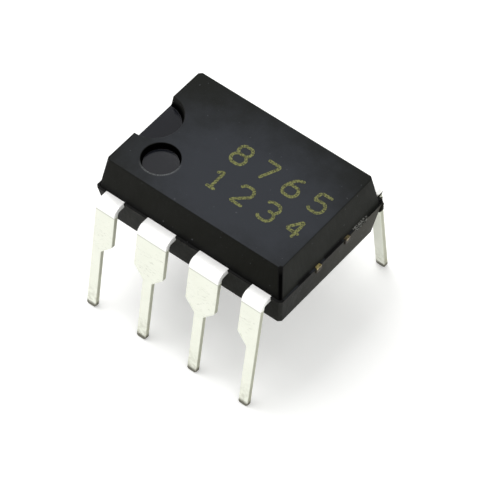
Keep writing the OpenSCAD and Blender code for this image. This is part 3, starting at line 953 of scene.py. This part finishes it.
# %% Torn gate
GATE_Y, GATE_W, GATE_H, GATE_OUT, GATE_OVER = 1.75, 0.9, 0.2, 0.03, 0.05
GATE_SUNK, GATE_BACK, GATE_RIM, GATE_RISE, GATE_RELIEF = 0.03, 0.16, 0.18, 0.05, 0.022
GATE_TAPER, GATE_SIDES, GATE_FOOT, LEDGE_INSET, LEDGE_RAMP = 0.22, 0.03, 0.10, 0.05, 0.03
LIMIT_X = BODY_L / 2 + GATE_OUT + 0.0095


def wander(t, seed, count=9):
    """A fixed ragged curve between about -1 and 1: a sum of sines drawn from the seed."""
    draw = np.random.default_rng(seed)
    rates = draw.uniform(3, 42, count)
    phases = draw.uniform(0, 2 * np.pi, count)
    weight = draw.uniform(0.5, 1.0, count) / np.sqrt(rates)
    waves = weight[:, None] * np.sin(rates[:, None] * t + phases[:, None])
    return waves.sum(0) / weight.sum() * 1.8


def torn_gate():
    """A grid over the scar, y across and z down: x is the wall plus the faded relief."""
    u, v = np.linspace(-1, 1, 61), np.linspace(0, 1, 17)
    across, down = np.meshgrid(u, v, indexing="ij")
    sides = 1 + GATE_SIDES * wander(v * 2, 5)
    foot = 1 + GATE_FOOT * wander(u * 2, 8)[:, None]
    y = GATE_Y + across * GATE_W / 2 * (1 - GATE_TAPER * down) * sides
    z = PART_Z + GATE_OVER - down * (GATE_H + GATE_OVER) * foot
    rough = wander((across * 1.7 + down * 0.6).ravel(), 3)
    rough = (rough + 0.6 * wander((across * 0.5 - down * 1.4).ravel() * 2, 4)).reshape(across.shape)
    rim = np.clip(np.minimum(1 - np.abs(across), np.minimum(down, 1 - down) * 1.6) / GATE_RIM, 0, 1)
    over_ledge = np.clip((z - PART_Z + LEDGE_DROP) / LEDGE_RAMP, 0, 1)
    wall = BODY_L / 2 - np.abs(z - PART_Z) * math.tan(END_DRAFT) - LEDGE_INSET * over_ledge
    x = np.minimum(wall - GATE_SUNK + rim * (GATE_RISE + GATE_RELIEF * rough), LIMIT_X)
    sheets = [np.stack([sheet, y, z], 2).reshape(-1, 3) for sheet in (x, wall - GATE_BACK)]
    index = np.arange(across.size).reshape(across.shape)
    quads = grid_quads(*across.shape)[:, [0, 3, 2, 1]]
    loop = np.concatenate([index[:-1, 0], index[-1, :-1], index[:0:-1, -1], index[0, :0:-1]])
    behind = loop + across.size
    side = np.stack([loop, np.roll(loop, -1), np.roll(behind, -1), behind], 1)
    faces = np.concatenate([quads, quads[:, ::-1] + across.size, side])
    return make_mesh("torn_gate", np.concatenate(sheets), faces.tolist(), 50)


def broken_compound():
    """A fresh break: dark resin with pale torn grains."""
    m = Finish("broken_compound")
    grit = m.noise(17.0, 4.0, 0.65)
    dark = m.mix(m.noise(4.5, 2.0), (0.004, 0.004, 0.003), (0.020, 0.020, 0.017))
    colour = m.mix(grit.spread(0.47, 0.60) * 0.8, dark, (0.24, 0.245, 0.225))
    return m.done(colour, grit.between(0.95, 0.7), grit, 0.012, Specular_IOR_Level=0.13)


settle(torn_gate(), broken_compound(), "moulding_compound")

# %% [markdown]
# ## Flash
#
# Where the two halves of the tool did not shut quite tight, a film of resin squeezed out along the
# parting plane and broke off unevenly: that is flash. Each film has four points in a ring. It
# starts inside the wall, and its edge wanders.

# %% Flash along the parting plane
FILM_STEP, FILM_FADE, FILM_ROOT = 0.012, 0.08, 0.05
FILM_MEAN, FILM_RAGGED, FILM_EDGE = 0.55, 0.75, 0.35


def flash_film(path_points, way, reach, thick, seed, lift=0.0):
    """Rings of a thin film from inside the wall to an edge that wanders out along way."""
    line = np.asarray(path_points, float)
    run = distances(line)
    at = np.linspace(0, run[-1], int(run[-1] / FILM_STEP) + 2)
    base = points_at(at, run, line)
    fade = np.clip(np.minimum(at, run[-1] - at) / FILM_FADE, 0.02, 1)
    out = fade * reach * np.clip(FILM_MEAN + FILM_RAGGED * wander(at * 3, seed), 0.04, 1)
    way = unit(np.asarray(way, float))
    start = base - way * FILM_ROOT
    edge = base + way * out[:, None] + [0, 0, 1] * (lift * out / reach)[:, None]
    high = np.array([0, 0, thick / 2])
    thin = high * FILM_EDGE
    return np.stack([start - high, start + high, edge + thin, edge - thin], 1)


end_x, side_y, film_z = BODY_L / 2, BODY_W / 2, PART_Z - 0.012
cut_y, corner_x = side_y - CORNER_CUT, end_x - CORNER_CUT
films = [flash_film([[*a, film_z], [*b, film_z]], *shape) for a, b, *shape in (
    ((end_x, 2.2), (end_x, cut_y), (1, 0, 0), 0.036, 0.016, 21, 0.03),
    ((end_x - 0.01, cut_y - 0.06), (corner_x - 0.05, side_y), (1, 1, 0), 0.10, 0.02, 33, 0.13),
    ((end_x, -1.2), (end_x, -0.6), (1, 0, 0), 0.034, 0.014, 45),
    ((-end_x, -2.4), (-end_x, -1.5), (-1, 0, 0), 0.034, 0.014, 57),
    ((-end_x, 0.9), (-end_x, 2.6), (-1, 0, 0), 0.034, 0.014, 63),
    ((-2.9, side_y), (-2.2, side_y), (0, 1, 0), 0.06, 0.014, 71),
    ((0.5, -side_y), (-0.5, -side_y), (0, -1, 0), 0.03, 0.014, 83),
)]
settle(stack("mould_flash", films, 50), compound, "moulding_compound")

# %% [markdown]
# At the corner beside lead 5 more resin got out: a rough lump hangs over the parting plane, and
# thin splinters hook up from it. Both are tubes. A tube needs two directions across its line: its
# own direction crossed with a fixed one, and then those two crossed.

# %% Lump and splinters
LUMP = ((4.15, 3.17, 5.56), (4.28, 3.23, 5.51), (4.40, 3.19, 5.37), (4.46, 3.12, 5.22),
        (4.42, 3.01, 5.06))
LUMP_R, LUMP_SEED, LUMP_ROUGH = 0.10, 91, 0.16
SPLINTERS = (
    ((4.21, 3.20, 5.59), (4.21, 3.42, 5.58), (4.22, 3.52, 5.70), 0.045),
    ((4.30, 3.22, 5.57), (4.33, 3.33, 5.60), (4.36, 3.40, 5.55), 0.040),
    ((4.44, 2.92, 5.62), (4.555, 2.94, 5.64), (4.552, 2.86, 5.74), 0.030),
)


def tube(line, a, size, across, flat=1.0):
    """Rings round a line at the angles a, size away from it, and flatter one way than the other."""
    way = unit(np.gradient(line, axis=0))
    side = unit(np.cross(way, across))
    other = np.cross(way, side)
    ring = np.cos(a)[:, None] * side[:, None] + flat * np.sin(a)[:, None] * other[:, None]
    return line[:, None] + size[:, :, None] * ring


def flash_spike(root, bend, tip, radius, around=12, steps=14):
    """A thin hooked splinter along a quadratic curve, whose radius falls to a tenth at its tip."""
    t = np.linspace(0, 1, steps)[:, None]
    line = curve(t, *np.array([root, bend, tip]))
    return tube(line, turns(around), radius * (1 - 0.9 * t), [0.3, -0.9, 0.3], 0.6)


def flash_lump(points, radius, seed, around=40, steps=60):
    """A rough lump along a bent line: thin at both ends, and its radius wanders round and along."""
    t, a, line = np.linspace(0, 1, steps), turns(around), np.array(points)
    middle = points_at(t, np.linspace(0, 1, len(line)), line)
    for _ in range(6):
        middle[1:-1] = (middle[:-2] + 2 * middle[1:-1] + middle[2:]) / 4
    swell = radius * np.sqrt(np.clip(1 - (2 * t - 1) ** 4, 0.02, 1))
    rough = np.stack([
        wander(np.cos(a) * 0.9 + 3 * v, seed) + 0.7 * wander(np.sin(a) * 0.8 + 5 * v, seed + 1)
        for v in t])
    rings = tube(middle, a, swell[:, None] * (1 + LUMP_ROUGH * rough), [0, 0, 1.0])
    return np.minimum(rings, [LIMIT_X, np.inf, np.inf])


splinters = [flash_lump(LUMP, LUMP_R, LUMP_SEED), *(flash_spike(*spike) for spike in SPLINTERS)]
settle(stack("flash_splinters", splinters, 50), compound, "moulding_compound")

# %% [markdown]
# ## Inside the body
#
# Nobody sees the inside of the real chip until it is cut open, but it is part of the object: the
# die on its pad, the paste under it, and the eight gold wires. The pad, the paste and the die are
# plain cut shapes, so the solids themselves are kept and only dressed. Two ties of the pad come out
# at each end of the body, where they were cut through. The clean copper shows only in a spot on the
# ledge, with a black smear of resin round it.

# %% Copper, paste and silicon
END_SPOT_Y, END_SPOT_Z = 0.12, 0.10


def tarnished_copper():
    """Sheared copper alloy, browner towards +Y, black round a spot at each tie's end."""
    m = Finish("tarnished_copper")
    x, y, z = m.split(m.place)
    tarnish, lines = m.noise(5.0, 4.0, 0.6), m.noise(30.0, 2.0, Scale=(0.3, 1.0, 0.15))
    away = far((abs(y) - TIE_Y) / END_SPOT_Y, (z - PART_Z) / END_SPOT_Z)
    away = away + tarnish.between(-0.25, 0.25)
    smear = away.spread(0.75, 1.35, 0.0, 0.97, True) * abs(x).spread(4.3, 4.4)
    dull = tarnish.spread(0.44, 0.64) + y.spread(-0.3, 0.3, 0.0, 0.8)
    colour = m.layers(
        m.mix(lines, (0.42, 0.33, 0.10), (0.68, 0.58, 0.24)),
        (dull, (0.100, 0.080, 0.045)),
        (smear, (0.018, 0.013, 0.007)),
    )
    return m.done(colour, tarnish.between(0.38, 0.62), lines, 0.004, Metallic=0.7)


def silver_paste():
    """Resin full of silver flakes."""
    m = Finish("silver_paste")
    flakes = m.noise(60.0, 2.0)
    colour = m.mix(flakes.spread(0.4, 0.6), (0.42, 0.42, 0.40), (0.70, 0.70, 0.68))
    return m.done(colour, flakes.between(0.4, 0.6), flakes, 0.004, Metallic=0.8)


def patterned_silicon():
    """Polished silicon: blocks of circuits in two tints, with pale metal tracks over them."""
    m = Finish("patterned_silicon")
    blocks = add(m.tree, "ShaderNodeTexBrick", {
        "Vector": m.place, "Scale": 4.5, "Mortar Size": 0.06, "Mortar Smooth": 0.1,
        "Brick Width": 0.7, "Row Height": 0.35, "Mortar": (0.55, 0.57, 0.58),
        "Color1": (0.10, 0.16, 0.20), "Color2": (0.22, 0.15, 0.22),
    }, offset=0.37, squash=0.7, squash_frequency=3).outputs
    tracks = Field(m.tree, add(m.tree, "ShaderNodeTexBrick", {
        "Vector": m.place, "Scale": 21.0, "Mortar Size": 0.12, "Brick Width": 1.3,
        "Row Height": 0.3,
    }, offset=0.2).outputs["Fac"])
    colour = m.mix(tracks * 0.35, blocks["Color"], (0.60, 0.60, 0.55))
    rough = Field(m.tree, blocks["Fac"]).spread(0, 1, 0.16, 0.32)
    return m.done(colour, rough, tracks, 0.001, Metallic=0.5)


for node_name, material in (("die_pad", tarnished_copper()), ("die_attach", silver_paste()),
                            ("silicon_die", patterned_silicon())):
    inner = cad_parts[node_name]
    inner.data.materials.clear()
    inner.data.materials.append(material)
    print(node_name, material.name)

# %% [markdown]
# ## Bond wires
#
# A gold wire is melted to a ball at its tip, pressed on the die, drawn up and over in a loop and
# wedged on the finger of its lead, where it is torn off. The loop is a cubic curve in the upright
# plane through both ends. Its last ring is turned level, so that the foot is cut flat on the
# finger.

# %% Bond wires
DIE_L, DIE_W, DIE_Z = 1.6, 1.3, 5.75
BOND_IN, WIRE_R, BALL_R, BALL_H, LOOP_H = 0.12, 0.02, 0.05, 0.03, 0.25


def wire_ends(i):
    """Where wire i of a row starts on the die and ends on its finger, as (x, y)."""
    side = -1 if i <= 2 else 1
    if i in (1, 4):
        ends = [[DIE_L / 2 - BOND_IN, -DIE_W / 4], [ARM_X + FINGER_W / 2, -ARM_Y - FINGER_W / 2]]
    else:
        ends = [[DIE_L / 4, BOND_IN - DIE_W / 2], [FINGER_X, -TIP_Y - FINGER_W / 2]]
    return np.array(ends) * [side, 1]


def wire_rings(i, around=16, steps=40, ball_steps=9):
    """Rings of wire i: a ball pressed flat on the die, a cubic loop, and a foot cut level."""
    a, b = wire_ends(i)
    reach, along = np.linalg.norm(b - a), unit(b - a)
    p = np.array([[0, DIE_Z + 1.5 * BALL_H], [0, DIE_Z + 1.5 * LOOP_H],
                  [0.55 * reach, DIE_Z + 1.3 * LOOP_H], [reach, PART_Z]])
    t = np.linspace(0, 1, steps)[:, None]
    way = unit(curve(t, *np.diff(p, axis=0)))
    half = WIRE_R * np.stack([way[:, 1], -way[:, 0]], 1)
    half[-1] = [WIRE_R / -way[-1, 1], 0]
    turn = np.radians(np.linspace(-90, 90, ball_steps))
    ball_z = DIE_Z + BALL_H / 2 * (1 + np.sin(turn))
    ball = np.maximum(BALL_R - BALL_H / 2 + BALL_H / 2 * np.cos(turn), WIRE_R)
    centre = np.concatenate([np.stack([0 * ball, ball_z], 1), curve(t, *p)])
    half = np.concatenate([np.stack([ball, 0 * ball], 1), half])
    wide = np.concatenate([ball, np.full(steps, WIRE_R)])
    w = turns(around)
    run = centre[:, :1] + np.cos(w) * half[:, :1]
    across = wide[:, None] * np.sin(w)
    x = a[0] + run * along[0] - across * along[1]
    y = a[1] + run * along[1] + across * along[0]
    return np.stack([x, y, centre[:, 1:] + np.cos(w) * half[:, 1:]], 2)


def drawn_gold():
    """Gold with the fine lines of the drawing die."""
    m = Finish("drawn_gold")
    lines = m.noise(45.0, 2.0)
    colour = m.mix(lines, (0.80, 0.53, 0.17), (0.95, 0.70, 0.28))
    return m.done(colour, lines.between(0.18, 0.34), lines, 0.001, Metallic=1.0)


gold = drawn_gold()
for n in range(1, 9):
    rings = wire_rings((n - 1) % 4 + 1) * row_turn(n)
    settle(stack(f"gold_wire_{n}", [rings], 50), gold, "gold_wire", f"bond_wire_{n}")

# %% [markdown]
# ## The floor
#
# The chip stands on a white sheet. The sheet glows a little, but only in the camera's own view and
# in reflections: that takes it to full white without lighting the underside of the chip, and leaves
# the shadow on it. The white surroundings use the same test of the ray.

# %% Floor
FLOOR_HALF, FLOOR_GLOW, SKY_LIGHT = 400.0, 0.25, 0.62


def seen_directly(tree):
    """1 for a ray from the camera, a mirror or glass; 0 for one that only brings light."""
    path = add(tree, "ShaderNodeLightPath").outputs
    seen = Field(tree, path["Is Camera Ray"])
    return seen.at_least(path["Is Glossy Ray"]).at_least(path["Is Transmission Ray"])


def white_sheet():
    """Matt white paper with a faint cloud of fibres."""
    m = Finish("white_sheet")
    fibre = m.noise(2.2, 4.0, 0.6)
    colour = m.mix(fibre, (0.915, 0.92, 0.905), (0.945, 0.945, 0.935))
    return m.done(colour, 0.9, fibre, 0.004, Specular_IOR_Level=0.1, Emission_Color=(1, 1, 0.985),
                  Emission_Strength=seen_directly(m.tree) * FLOOR_GLOW)


def floor_sheet(half, steps=41):
    """A square sheet through z = 0, with points closer together near the middle by a cube law."""
    u = np.linspace(-1, 1, steps)
    line = half * (0.15 * u + 0.85 * u ** 3)
    x, y = np.meshgrid(line, line, indexing="ij")
    points = np.stack([x, y, np.zeros_like(x)], 2).reshape(-1, 3)
    return points, grid_quads(steps, steps).tolist()


floor = make_mesh("floor", *floor_sheet(FLOOR_HALF))
if floor.data.polygons[0].normal.z < 0:
    floor.data.flip_normals()
floor.data.materials.append(white_sheet())

# %% [markdown]
# ## The light
#
# White surroundings light everything from all sides. A wide lamp nearly overhead, a little to the
# left, puts the shadow mostly straight below the body, and a weaker one at the front right fills
# the near walls and the legs. No lamp may stand where the top would mirror it into the camera,
# because the polished floors of the pockets would glare.

# %% World and lamps
world = bpy.data.worlds.new("studio")
bpy.context.scene.world = world
world.use_nodes = True
sky = world.node_tree
sky.nodes.clear()
strength = seen_directly(sky).spread(0.0, 1.0, SKY_LIGHT, 1.0)
backdrop = add(sky, "ShaderNodeBackground", {"Color": (1, 1, 1), "Strength": strength})
add(sky, "ShaderNodeOutputWorld", {"Surface": backdrop.outputs[0]})


def lamp(name, place_mm, aim_mm, size_mm, power):
    """A square soft lamp at a place, turned to face its aim."""
    data = bpy.data.lights.new(name, "AREA")
    data.shape, data.size, data.energy = "SQUARE", size_mm * MM, power
    lamp_object = bpy.data.objects.new(name, data)
    lamp_object.location = Vector(place_mm) * MM
    look = Vector(aim_mm) - Vector(place_mm)
    lamp_object.rotation_euler = look.to_track_quat("-Z", "Y").to_euler()
    bpy.context.scene.collection.objects.link(lamp_object)
    print("lamp", name, "at", round(look.length), "mm")


lamp("key", (-90, 10, 245), (0, 0, 3), 160, 0.36)
lamp("fill", (200, -130, 120), (0, 0, 3), 200, 0.17)
